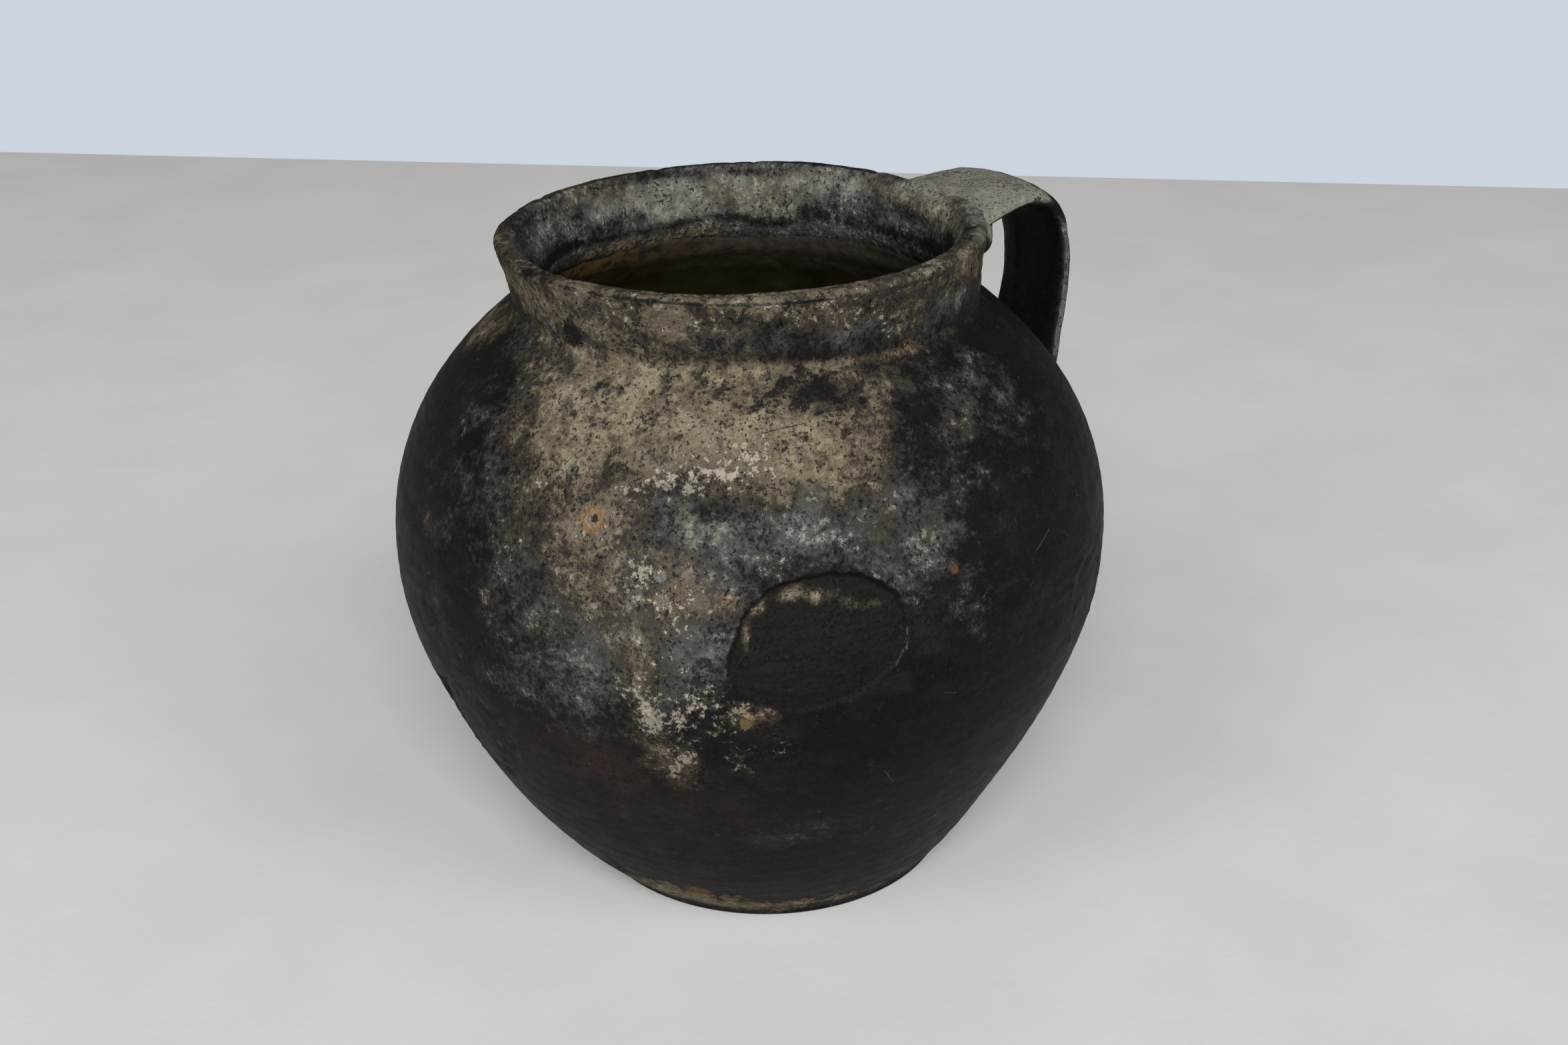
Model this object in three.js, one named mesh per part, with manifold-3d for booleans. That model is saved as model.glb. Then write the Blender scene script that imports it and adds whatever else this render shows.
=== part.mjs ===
// A hand-thrown earthenware kitchen pot, smoked black, glazed inside, with one strap handle.
// Lengths are in millimetres and angles in degrees. +Z is up and the handle lies along +X.
// The origin is on the pot's axis, in the plane that the foot stands on.

import * as THREE from 'three';
import { mergeVertices } from 'three/addons/utils/BufferGeometryUtils.js';
import Module from 'manifold-3d';

const wasm = await Module();
wasm.setup();

// Outside of the thrown wall, from the foot up to the lip
const footRadius = 53.4;
const footEdge = 1.2;
const footSpread = 22.1;
const footRise = 21.6;
const bellyRadius = 100;
const bellyHeight = 96.7;
const lowerFullness = 26.7;
const upperFullness = 6.1;
const shoulderSpread = 40.9;
const shoulderDrop = 29.7;
const neckRadius = 63.3;
const neckHeight = 166.5;
const neckWaist = 0.4;
const neckWaistRise = 9;
const neckTall = 20.3;
const rimFlare = 2.7;
const rimRadius = neckRadius + rimFlare;
const rimHeight = neckHeight + neckTall;

// Thickness of the clay
const wallThickness = 6.5;
const lipThickness = 6.3;
const lipRound = 2.6;
const floorThickness = 8.5;
const floorFlatRadius = 34;

// Inside of the neck, which is narrowest at the throat
const throatWall = 8.3;
const throatRise = 4.5;
const throatRun = 5;
const throatRadius = neckRadius - throatWall;
const throatHeight = neckHeight + throatRise;

// Glaze coat on the inside, up to the throat
const glazeThickness = 0.5;

// The pot is out of true: its foot stands off the axis and its rim is tipped
const footShift = new THREE.Vector2(3.2, -2.7);
const footShiftHeight = 40;
const rimShift = new THREE.Vector2(-1.9, -0.1);
const rimTip = new THREE.Vector2(0.0267, 0.005);

// Shallow oval patches on the belly where the surface has flaked away. Each is sunk by its depth
// on a plumb wall, and its floor is slid down by its drop, so that its upper edge is the deepest.
const flakes = [
  { azimuth: -109.4, height: 109.4, width: 44.8, tall: 35.2, turn: 8, depth: 0.9, drop: 4 },
  { azimuth: -174, height: 62.5, width: 44, tall: 35, turn: 0, depth: 2.3, drop: 3.5 },
  { azimuth: -53.5, height: 97, width: 28, tall: 29, turn: 0, depth: 0.8, drop: 1.5 },
];

// Strap handle: its section, and how it widens towards its two ends
const strapThickness = 5.5;
const strapCrown = 1.6;
const strapWidth = 26;
const strapEdge = 2.2;
const rootWidth = 44;
const rootFlare = 15;
const landingWidth = 31;
const landingFlare = 12;

// Middle line of the strap, from inside the rim, out, down and into the shoulder
const rootBury = 6;
const rootDrop = 5.3;
const rootClimb = 16.9;
const rootPull = 31;
const bendRise = 27.1;
const bendFullness = 19.8;
const bendReach = 4.3;
const landingHeight = 132.2;
const landingBury = 5;
const landingPull = 5.6;
const landingLean = 27.7;
const landingFullness = 11.9;

// Clay smeared round the handle's joints
const upperSmear = new THREE.Vector3(9, 27, 8);
const upperSmearDrop = 9;
const upperSmearInset = 2;
const lowerSmear = new THREE.Vector3(4.8, 19, 14.5);

// Clearance between pieces that touch
const jointGap = 0.3;

// Fineness of the facets
const turns = 48;
const wallSteps = 7;
const strapSteps = 30;

const point = (radius, height) => new THREE.Vector2(radius, height);

const heading = (degrees) => {
  const angle = THREE.MathUtils.degToRad(degrees);
  return point(Math.cos(angle), Math.sin(angle));
};

// Points along a curve, moved sideways by shift: outwards is to the right of the way up
function along(curve, count, shift = 0, last = 1) {
  const points = [];
  for (let i = 0; i <= count; i += 1) {
    const t = (last * i) / count;
    const tangent = curve.getTangent(t);
    const place = curve.getPoint(t);
    points.push(point(place.x + tangent.y * shift, place.y - tangent.x * shift));
  }
  return points;
}

// Outer profile
const lowerWall = new THREE.CubicBezierCurve(
  point(footRadius, footEdge),
  point(footRadius + footSpread, footEdge + footRise),
  point(bellyRadius, bellyHeight - lowerFullness),
  point(bellyRadius, bellyHeight),
);
const shoulder = new THREE.CubicBezierCurve(
  point(bellyRadius, bellyHeight),
  point(bellyRadius, bellyHeight + upperFullness),
  point(neckRadius + shoulderSpread, neckHeight - shoulderDrop),
  point(neckRadius, neckHeight),
);
const neck = new THREE.QuadraticBezierCurve(
  point(neckRadius, neckHeight),
  point(neckRadius + neckWaist, neckHeight + neckWaistRise),
  point(rimRadius, rimHeight - lipRound),
);
const crestRadius = rimRadius - lipThickness / 2;
const lipOutside = new THREE.QuadraticBezierCurve(
  point(rimRadius, rimHeight - lipRound),
  point(rimRadius, rimHeight),
  point(crestRadius, rimHeight),
);

// Inner profile, also drawn upwards, so that the clay is on its right
const shoulderEnd = 0.93;
const innerWall = (shift = 0) => along(lowerWall, wallSteps, shift - wallThickness).slice(1);
const innerShoulder = (shift = 0) => along(shoulder, wallSteps, shift - wallThickness, shoulderEnd).slice(1);
const cornerEnd = innerWall()[0];
const cornerSlope = lowerWall.getTangent(1 / wallSteps);
const floorCorner = new THREE.QuadraticBezierCurve(
  point(floorFlatRadius, floorThickness),
  point(cornerEnd.x - (cornerSlope.x / cornerSlope.y) * (cornerEnd.y - floorThickness), floorThickness),
  cornerEnd,
);
const throatStart = innerShoulder().at(-1);
const throatSlope = shoulder.getTangent(shoulderEnd);
const throatBend = throatStart.y + (throatSlope.y / throatSlope.x) * (throatRadius - throatStart.x);
const throat = new THREE.QuadraticBezierCurve(
  throatStart,
  point(throatRadius, throatBend),
  point(throatRadius, throatHeight),
);
const neckInside = new THREE.QuadraticBezierCurve(
  point(throatRadius, throatHeight),
  point(throatRadius, throatHeight + throatRun),
  point(rimRadius - lipThickness, rimHeight - lipRound),
);
const lipInside = new THREE.QuadraticBezierCurve(
  point(rimRadius - lipThickness, rimHeight - lipRound),
  point(rimRadius - lipThickness, rimHeight),
  point(crestRadius, rimHeight),
);

// Profile of the hollow from the middle of the floor up to the throat
function hollow(shift = 0) {
  return [
    point(0, floorThickness - shift),
    ...along(floorCorner, 3, shift),
    ...innerWall(shift),
    ...innerShoulder(shift),
    ...along(throat, 3, shift).slice(1),
  ];
}

// Profile of the outside from the foot to the crest of the lip
function outside(shift = 0) {
  return [
    point(footRadius - footEdge + shift, -Math.abs(shift)),
    ...along(lowerWall, wallSteps, shift),
    ...along(shoulder, wallSteps, shift).slice(1),
    ...along(neck, 3, shift).slice(1),
    ...along(lipOutside, 3, shift).slice(1),
  ];
}

// Height above the foot and the matching radius of the shoulder
function shoulderRadius(height) {
  const points = shoulder.getPoints(200);
  return points.reduce((best, p) => (Math.abs(p.y - height) < Math.abs(best.y - height) ? p : best)).x;
}

// Moves a turned surface as the soft pot moved: the foot sideways, the rim tipped
function outOfTrue(geometry) {
  const position = geometry.getAttribute('position');
  const v = new THREE.Vector3();
  for (let i = 0; i < position.count; i += 1) {
    v.fromBufferAttribute(position, i);
    const foot = THREE.MathUtils.clamp(1 - v.z / footShiftHeight, 0, 1) ** 2;
    const rim = THREE.MathUtils.clamp((v.z - neckHeight) / (rimHeight - neckHeight), 0, 1);
    position.setXYZ(
      i,
      v.x + foot * footShift.x + rim * rimShift.x,
      v.y + foot * footShift.y + rim * rimShift.y,
      v.z + rim * (rimTip.x * v.x + rimTip.y * v.y),
    );
  }
  return geometry;
}

// A closed solid from a geometry, without the triangles that shrink to nothing on the axis
function solid(geometry) {
  geometry.deleteAttribute('normal');
  geometry.deleteAttribute('uv');
  const merged = mergeVertices(geometry, 1e-4);
  const triangles = [];
  for (let i = 0; i < merged.index.count; i += 3) {
    const [a, b, c] = [0, 1, 2].map((k) => merged.index.getX(i + k));
    if (a !== b && b !== c && c !== a) triangles.push(a, b, c);
  }
  return new wasm.Manifold(new wasm.Mesh({
    numProp: 3,
    vertProperties: Float32Array.from(merged.getAttribute('position').array),
    triVerts: Uint32Array.from(triangles),
  }));
}

function turned(profile) {
  return solid(outOfTrue(new THREE.LatheGeometry(profile, turns).rotateX(Math.PI / 2)));
}

// Everything inside the pot's outside surface, with a column that clears the mouth
function filledPot(shift) {
  const column = 30;
  return turned([
    point(0, -Math.abs(shift)),
    ...outside(shift),
    point(crestRadius, rimHeight + column),
    point(0, rimHeight + column),
  ]);
}

// What a flaked patch has lost: an oval column through the belly, down to a sunken copy of its surface
function lostFlake({ azimuth, height, width, tall, turn, depth, drop }) {
  const reach = 40;
  const oval = new THREE.Shape();
  oval.absellipse(0, 0, width / 2, tall / 2, 0, 2 * Math.PI, false, THREE.MathUtils.degToRad(turn));
  const column = new THREE.ExtrudeGeometry(oval, { depth: reach, bevelEnabled: false, curveSegments: 10 });
  const angle = THREE.MathUtils.degToRad(azimuth);
  const outwards = new THREE.Vector3(Math.cos(angle), Math.sin(angle), 0);
  const up = new THREE.Vector3(0, 0, 1);
  const sideways = new THREE.Vector3().crossVectors(up, outwards);
  const place = new THREE.Matrix4().makeBasis(sideways, up, outwards);
  place.setPosition(outwards.multiplyScalar(bellyRadius - reach / 2).setZ(height));
  const sunken = filledPot(-depth).translate([0, 0, -drop]);
  return solid(column.applyMatrix4(place)).subtract(sunken);
}

function potBody() {
  const clay = turned([
    point(0, 0),
    ...outside(),
    ...along(lipInside, 3).reverse().slice(1),
    ...along(neckInside, 3).reverse().slice(1),
    ...hollow().reverse().slice(1),
  ]);
  return flakes.reduce((left, flake) => left.subtract(lostFlake(flake)), clay);
}

function glazeLining() {
  return turned([
    ...hollow(-jointGap),
    ...hollow(-jointGap - glazeThickness).reverse(),
  ]);
}

// Middle line of the strap in the plane of the handle
const strapStart = point(rimRadius - rootBury, rimHeight - rootDrop);
const landing = point(shoulderRadius(landingHeight), landingHeight);
const landingHeading = heading(90 - landingLean);
const strapEnd = landingHeading.clone().multiplyScalar(-landingBury).add(landing);
const strapBend = point(landing.x + bendReach, landing.y + bendRise);
const flat = (p) => new THREE.Vector3(p.x, 0, p.y);
const strapLine = new THREE.CurvePath();
strapLine.add(new THREE.CubicBezierCurve3(
  flat(strapStart),
  flat(heading(rootClimb).multiplyScalar(rootPull).add(strapStart)),
  flat(point(strapBend.x, strapBend.y + bendFullness)),
  flat(strapBend),
));
strapLine.add(new THREE.CubicBezierCurve3(
  flat(strapBend),
  flat(point(strapBend.x, strapBend.y - landingFullness)),
  flat(landingHeading.clone().multiplyScalar(landingPull).add(strapEnd)),
  flat(strapEnd),
));

// Section of the strap: x runs across it, and -y is its outer, fuller face
function strapSection(grow) {
  const half = strapWidth / 2 + grow;
  const face = strapThickness / 2 + grow;
  const crown = face + 2 * strapCrown;
  const section = new THREE.Shape();
  section.moveTo(-half, 0);
  section.quadraticCurveTo(-half, -face, strapEdge - half, -face);
  section.quadraticCurveTo(0, -crown, half - strapEdge, -face);
  section.quadraticCurveTo(half, -face, half, 0);
  section.quadraticCurveTo(half, face, half - strapEdge, face);
  section.lineTo(strapEdge - half, face);
  section.quadraticCurveTo(-half, face, -half, 0);
  return section;
}

// The strap's width at a distance from its start
function widthAt(distance) {
  const left = strapLine.getLength() - distance;
  const root = (rootWidth - strapWidth) * Math.exp(-((distance / rootFlare) ** 2));
  const landing = (landingWidth - strapWidth) * Math.exp(-((left / landingFlare) ** 2));
  return strapWidth + root + landing;
}

// The strap along its line, widened station by station, before the pot is cut from its ends
function strap(grow = 0) {
  const geometry = new THREE.ExtrudeGeometry(strapSection(grow), {
    steps: strapSteps,
    curveSegments: 3,
    extrudePath: strapLine,
  });
  const stations = strapLine.getSpacedPoints(strapSteps);
  const length = strapLine.getLength();
  const position = geometry.getAttribute('position');
  for (let i = 0; i < position.count; i += 1) {
    const away = stations.map((s) => Math.hypot(position.getX(i) - s.x, position.getZ(i) - s.z));
    const distance = (length * away.indexOf(Math.min(...away))) / strapSteps;
    const widening = (widthAt(distance) / 2 + grow) / (strapWidth / 2 + grow);
    position.setY(i, position.getY(i) * widening);
  }
  return solid(geometry);
}

// A lump of clay pressed flat: half sizes through, across and along the wall, leant back by tilt
function lump(halfSizes, tilt, place) {
  const geometry = new THREE.SphereGeometry(1, 20, 12);
  geometry.scale(halfSizes.x, halfSizes.y, halfSizes.z);
  geometry.rotateY(-THREE.MathUtils.degToRad(tilt));
  geometry.translate(place.x, 0, place.y);
  return solid(geometry);
}

function strapHandle() {
  return strap().subtract(filledPot(jointGap));
}

function upperLuting() {
  const place = point(rimRadius - upperSmearInset, rimHeight - upperSmearDrop);
  return lump(upperSmear, 0, place).subtract(filledPot(jointGap)).subtract(strap(jointGap));
}

function lowerLuting() {
  const span = 4;
  const drawnIn = shoulderRadius(landingHeight - span) - shoulderRadius(landingHeight + span);
  const tilt = THREE.MathUtils.radToDeg(Math.atan2(drawnIn, 2 * span));
  return lump(lowerSmear, tilt, landing).subtract(filledPot(jointGap)).subtract(strap(jointGap));
}

const finishes = {
  smokedClay: new THREE.MeshStandardMaterial({ color: '#33312e', roughness: 0.72, metalness: 0 }),
  strapClay: new THREE.MeshStandardMaterial({ color: '#47433c', roughness: 0.78, metalness: 0 }),
  lutingClay: new THREE.MeshStandardMaterial({ color: '#3f3b35', roughness: 0.82, metalness: 0 }),
  oliveGlaze: new THREE.MeshStandardMaterial({ color: '#2f2910', roughness: 0.16, metalness: 0 }),
};

function piece(name, manifold, material) {
  const mesh = manifold.getMesh();
  const geometry = new THREE.BufferGeometry();
  geometry.setAttribute('position', new THREE.BufferAttribute(mesh.vertProperties, 3));
  geometry.setIndex(new THREE.BufferAttribute(mesh.triVerts, 1));
  const made = new THREE.Mesh(geometry, material);
  made.name = name;
  return made;
}

const pot = new THREE.Group();
pot.add(
  piece('pot_body', potBody(), finishes.smokedClay),
  piece('glaze_lining', glazeLining(), finishes.oliveGlaze),
  piece('strap_handle', strapHandle(), finishes.strapClay),
  piece('upper_luting', upperLuting(), finishes.lutingClay),
  piece('lower_luting', lowerLuting(), finishes.lutingClay),
);

export default pot;
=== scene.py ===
"""A hand-thrown earthenware kitchen pot, smoked black, glazed inside, with one strap handle.

Shapes are drawn in millimetres and made metres at the end. +Z is up, the handle lies along +X,
and the pot's axis is the origin. Places on the wall are an azimuth in degrees and a height.
"""

import math

import bmesh
import bpy
import numpy as np
from mathutils import Matrix, Vector, noise
from mathutils.geometry import interpolate_bezier


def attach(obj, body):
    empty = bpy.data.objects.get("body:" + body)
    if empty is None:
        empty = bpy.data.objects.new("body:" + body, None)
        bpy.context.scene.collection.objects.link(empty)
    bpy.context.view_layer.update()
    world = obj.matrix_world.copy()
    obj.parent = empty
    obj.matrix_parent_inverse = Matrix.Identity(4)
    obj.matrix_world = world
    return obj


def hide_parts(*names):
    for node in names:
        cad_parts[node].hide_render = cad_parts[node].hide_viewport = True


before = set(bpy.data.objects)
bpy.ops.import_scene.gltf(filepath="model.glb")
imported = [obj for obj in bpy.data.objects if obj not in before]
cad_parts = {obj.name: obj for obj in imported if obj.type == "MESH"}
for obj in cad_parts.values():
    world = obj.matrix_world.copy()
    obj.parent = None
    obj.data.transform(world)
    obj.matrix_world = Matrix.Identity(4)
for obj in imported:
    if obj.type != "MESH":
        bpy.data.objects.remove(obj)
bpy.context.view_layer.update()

MM = 0.001

# Outside of the thrown wall, as (radius, height)
FOOT = (53.4, 1.2)
LOWER_PULLS = ((75.5, 22.8), (100, 70))
BELLY = (100, 96.7)
SHOULDER_PULLS = ((100, 102.8), (104.2, 136.8))
NECK = (63.3, 166.5)
NECK_WAIST = (63.7, 175.5)
LIP_OUTER = (66, 184.2)
CREST = (62.85, 186.8)

# Inside of the wall
WALL = 6.5
FLOOR_HEIGHT = 8.5
FLOOR_FLAT = 34
THROAT = (55, 171)
THROAT_TOP = (55, 176)
LIP_INNER = (59.7, 184.2)
SHOULDER_SHARE = 0.93

# The pot is out of true
FOOT_SHIFT = (3.2, -2.7)
FOOT_SHIFT_HEIGHT = 40
RIM_SHIFT = (-1.9, -0.1)
RIM_TIP = (0.0267, 0.005)

# Glaze coat: how far it stands off the clay, how deep its back is set, and where it stops
GLAZE_STAND = 0.35
GLAZE_BACK = -0.25
GLAZE_EDGE = 165.5
GLAZE_END = 168.9

# Strap handle: section, flares at its two ends, and its middle line in the XZ plane
STRAP_THICKNESS = 6.5
STRAP_CROWN = 0.8
STRAP_WIDTH = 30
ROOT_FLARE = (17, 21)
LANDING_FLARE = (5, 12)
STRAP_UPPER = ((60, 181.2), (91.6, 190.4), (98, 180.2), (97.9, 159.3))
STRAP_LOWER = ((97.9, 159.3), (97.8, 147.4), (93.8, 132.8), (91.0, 127.8))
STRAP_BURIED = 1.5
STRAP_AROUND = 84
STRAP_ALONG = 150
# How square the section is, across and through: 1 is an ellipse, 0 a box
STRAP_SQUARE = (0.6, 0.72)
# Groove left by the finger that pulled it: depth, place across, half width
FINGER_GROOVE = (0.28, -2.5, 3.2)
# One side swells: share, distance along, half length
STRAP_SWELL = (0.2, 34, 12)
# A blob of clay on the strap's root: place, height, radius
STRAP_BLOB = ((80, 14.5, 187), 0.6, 3.2)

# Flaked patches: outline as (azimuth, height), depth at the top and at the bottom, width of the ledge
FRONT_FLAKE = (
    (-116.2, 124.4), (-111.6, 126.2), (-107.9, 127), (-104.2, 126.5), (-100.5, 124.4), (-97.3, 119.4),
    (-96.5, 114.3), (-96.5, 109.5), (-97.6, 103.7), (-99.2, 99.8), (-102.3, 96), (-105.9, 93.4),
    (-110.2, 91.8), (-114.3, 91.8), (-117.8, 95.2), (-120.7, 99.4), (-122.2, 103), (-122.1, 107.3),
    (-120.9, 111.7), (-120.3, 116.2), (-119.2, 119.2), (-117.7, 120.7),
)
LEFT_FLAKE = (
    (-177.8, 74.8), (-173.2, 78.3), (-169.7, 80.4), (-167.9, 79.7), (-166.4, 78.2), (-165, 76.4),
    (-164, 73.8), (-161.6, 69.8), (-160.7, 64.5), (-161.5, 58), (-164, 52), (-169, 47), (-176, 45.5),
    (-183, 47.5), (-188, 53), (-190, 61), (-188, 69), (-183, 74),
)
RIGHT_FLAKE = (
    (-56.3, 107.6), (-59.5, 105.7), (-61.1, 100.2), (-61.6, 94.6), (-61, 89.5), (-57.6, 83.1),
    (-53, 81.5), (-48.5, 84), (-45.6, 90), (-45, 98), (-47, 105), (-51, 109),
)
FLAKE_RADIUS = 98
FLAKES = (
    (FRONT_FLAKE, 2.6, 0.6, 0.9),
    (LEFT_FLAKE, 2.6, 0.5, 1.4),
    (RIGHT_FLAKE, 0.6, 0.3, 3.0),
)

# Unevenness of the skin, as rows of (depth, size, seed)
WALL_LUMPS = ((0.22, 42, 1), (0.12, 15, 2), (0.05, 3.2, 4))
INSIDE_LUMPS = ((0.2, 12, 12),)
NECK_LUMPS = ((0.18, 5.5, 9), (0.1, 2.1, 10))
FLAKE_EDGE_LUMPS = ((0.5, 2.2, 5), (0.3, 0.9, 6))
FLAKE_BED_LUMPS = ((0.3, 5, 7), (0.16, 1.7, 8))
GLAZE_EDGE_LUMPS = ((1.6, 19, 15), (0.7, 5, 16))
SMEAR_LUMPS = ((0.7, 6, 20), (0.5, 2.6, 21))
STRAP_LUMPS = ((0.32, 9, 18), (0.16, 3.2, 19))
# Throwing rings and ridges: depth and spacing, outside and inside
RINGS = (0.05, 4.6)
RIDGES = (0.22, 7.5)
# A fine groove under the lip: depth, height, half width
LIP_GROOVE = (0.28, 184.0, 0.6)
# The skins lie this far off their drawn lines, so that they never stand past the wall
SKIN_SUNK = 0.42
INSIDE_SUNK = 0.2
# The lip is pressed down where the strap joins it: depth, azimuth, half width
LIP_PRESSED = (1.3, 4, 20)

# Clay smeared over the joints: ovals as (half sizes, tilt, place), and the box each smear is worked in
UPPER_DABS = (((8.8, 27.5, 8.4), 0, (64, 0, 177.6)), ((10, 23, 6.1), 0, (64, 0, 181.6)))
UPPER_BOX = ((54, -31, 164), (80, 31, 190))
LOWER_DABS = (((4.5, 18, 11), 40, (92.2, 0, 133.6)),)
LOWER_BOX = ((80, -24, 112), (103, 24, 150))
JOINT_SUNK = 0.22
JOINT_MARGIN = 6
JOINT_SMOOTHINGS = 10

# Fineness
TURNS = 330
GLAZE_TURNS = 240
JOINT_VOXEL = 0.65
MERGED_WITHIN = 0.002


def bend(start, pull, other_pull, end, steps):
    """Points along a curve with two pulls, in the XZ plane."""
    knots = [Vector((radius, 0, height)) for radius, height in (start, pull, other_pull, end)]
    return interpolate_bezier(*knots, steps + 1)


def corner(start, middle, end, steps):
    """Points along a curve drawn towards one middle point."""
    pulls = [tuple(e + (m - e) * 2 / 3 for e, m in zip(side, middle)) for side in (start, end)]
    return bend(start, pulls[0], pulls[1], end, steps)


def inset(points, distance):
    """The same line, moved inwards, where inwards is to the left of the way up."""
    moved = []
    for i, point in enumerate(points):
        along = points[min(i + 1, len(points) - 1)] - points[max(i - 1, 0)]
        along.normalize()
        moved.append(point + Vector((-along.z, 0, along.x)) * distance)
    return moved


def outside_line():
    lower = bend(FOOT, *LOWER_PULLS, BELLY, 70)
    shoulder = bend(BELLY, *SHOULDER_PULLS, NECK, 60)
    neck = corner(NECK, NECK_WAIST, LIP_OUTER, 22)
    lip = corner(LIP_OUTER, (LIP_OUTER[0], CREST[1]), CREST, 8)
    foot_edge = corner((FOOT[0] - 1.4, 0), (FOOT[0] - 0.1, 0), FOOT, 4)
    return foot_edge + lower[1:] + shoulder[1:] + neck[1:] + lip[1:]


def hollow_line(stand=0.0):
    """Inside of the wall from the middle of the floor up to the throat, stand millimetres off the clay."""
    depth = WALL + stand
    lower = inset(bend(FOOT, *LOWER_PULLS, BELLY, 22), depth)[3:]
    shoulder = bend(BELLY, *SHOULDER_PULLS, NECK, 28)
    shoulder = inset(shoulder, depth)[1:round(28 * SHOULDER_SHARE) + 1]
    rise = (shoulder[-1] - shoulder[-2]).normalized()
    throat_radius = THROAT[0] - stand
    bend_height = shoulder[-1].z + rise.z / rise.x * (throat_radius - shoulder[-1].x)
    ends = [(p.x, p.z) for p in (lower[0], shoulder[-1])]
    slope = (lower[1] - lower[0]).normalized()
    floor = FLOOR_HEIGHT + stand
    meets = (lower[0].x - slope.x / slope.z * (lower[0].z - floor), floor)
    floor_corner = corner((FLOOR_FLAT, floor), meets, ends[0], 8)
    throat = corner(ends[1], (throat_radius, bend_height), (throat_radius, THROAT[1]), 12)
    floor_flat = [Vector((FLOOR_FLAT * i / 8, 0, floor)) for i in range(8)]
    return floor_flat + floor_corner + lower[1:] + shoulder + throat[1:]


def inside_line():
    """Inside of the whole pot, from the crest of the lip down to the middle of the floor."""
    lip = corner(LIP_INNER, (LIP_INNER[0], CREST[1]), CREST, 8)
    neck = corner(THROAT, THROAT_TOP, LIP_INNER, 16)
    return (hollow_line() + neck[1:] + lip[1:])[::-1]


def out_of_true(point):
    """Moves a point as the soft pot moved: the foot sideways, the rim tipped."""
    foot = min(max(1 - point.z / FOOT_SHIFT_HEIGHT, 0), 1) ** 2
    rim = min(max((point.z - NECK[1]) / (CREST[1] - NECK[1]), 0), 1)
    tip = rim * (RIM_TIP[0] * point.x + RIM_TIP[1] * point.y)
    return Vector((
        point.x + foot * FOOT_SHIFT[0] + rim * RIM_SHIFT[0],
        point.y + foot * FOOT_SHIFT[1] + rim * RIM_SHIFT[1],
        point.z + tip,
    ))


def eased(value, low, high):
    """Share from 0 to 1 of the way between two values, soft at both ends."""
    share = min(max((value - low) / (high - low), 0), 1)
    return share * share * (3 - 2 * share)


def lumps(point, size, seed=0):
    """Smooth unevenness from -1 to 1 with lumps of about that size."""
    return noise.noise(point / size + Vector((seed, 1.7 * seed, 2.3 * seed)))


def uneven(point, rows):
    return sum(depth * lumps(point, size, seed) for depth, size, seed in rows)


def hump(value, middle, half_width):
    """A soft hump, 1 in its middle."""
    return math.exp(-((value - middle) / half_width) ** 2)


def around_axis(azimuth, radius):
    angle = math.radians(azimuth)
    return Vector((math.cos(angle), math.sin(angle), 0)) * radius


def rounded(outline):
    """The outline with its corners cut twice."""
    for _ in range(2):
        cut = []
        for start, end in zip(outline, outline[1:] + outline[:1]):
            cut += [tuple(a * k + b * (1 - k) for a, b in zip(start, end)) for k in (0.75, 0.25)]
        outline = cut
    return outline


class Flake:
    """A patch that has come away. depth_at says how deep the wall is lost at an azimuth and height."""

    def __init__(self, outline, top_depth, bottom_depth, ledge):
        self.scale = math.radians(1) * FLAKE_RADIUS
        self.outline = [(azimuth * self.scale, height) for azimuth, height in rounded(list(outline))]
        self.heights = (min(h for _, h in self.outline), max(h for _, h in self.outline))
        self.sides = (min(a for a, _ in self.outline), max(a for a, _ in self.outline))
        self.top_depth = top_depth
        self.bottom_depth = bottom_depth
        self.ledge = ledge

    def place(self, azimuth, height):
        across = azimuth * self.scale
        if across > self.sides[1] + 60:
            across -= 360 * self.scale
        return across, height

    def near(self, azimuth, height, margin):
        across, height = self.place(azimuth, height)
        return (self.sides[0] - margin < across < self.sides[1] + margin
                and self.heights[0] - margin < height < self.heights[1] + margin)

    def inwards(self, azimuth, height):
        """Distance to the outline in millimetres, positive inside it."""
        x, y = self.place(azimuth, height)
        inside = False
        nearest = 1e9
        for (ax, ay), (bx, by) in zip(self.outline, self.outline[1:] + self.outline[:1]):
            dx, dy = bx - ax, by - ay
            share = min(max(((x - ax) * dx + (y - ay) * dy) / (dx * dx + dy * dy), 0), 1)
            nearest = min(nearest, math.hypot(x - ax - share * dx, y - ay - share * dy))
            if (ay > y) != (by > y) and x < ax + (y - ay) * dx / dy:
                inside = not inside
        return nearest if inside else -nearest

    def edge_at(self, azimuth, height, point):
        return self.inwards(azimuth, height) + uneven(point, FLAKE_EDGE_LUMPS)

    def depth_at(self, azimuth, height, point):
        """Depth lost here, and the small burr that stands just outside the edge."""
        edge = self.edge_at(azimuth, height, point)
        rise = eased(height, self.heights[0], self.heights[1])
        deepest = self.bottom_depth + (self.top_depth - self.bottom_depth) * rise ** 1.3
        scrapes = Vector((point.x, point.y, point.z * 2.2))
        rough = uneven(scrapes, FLAKE_BED_LUMPS)
        inside = eased(edge, 0, self.ledge)
        burr = 0.22 * hump(edge, -0.7, 0.7) * eased(deepest, 2.6, 0.4)
        return inside * (deepest + rough * eased(edge, 0, 3)) - burr


flakes = [Flake(*row) for row in FLAKES]


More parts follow.
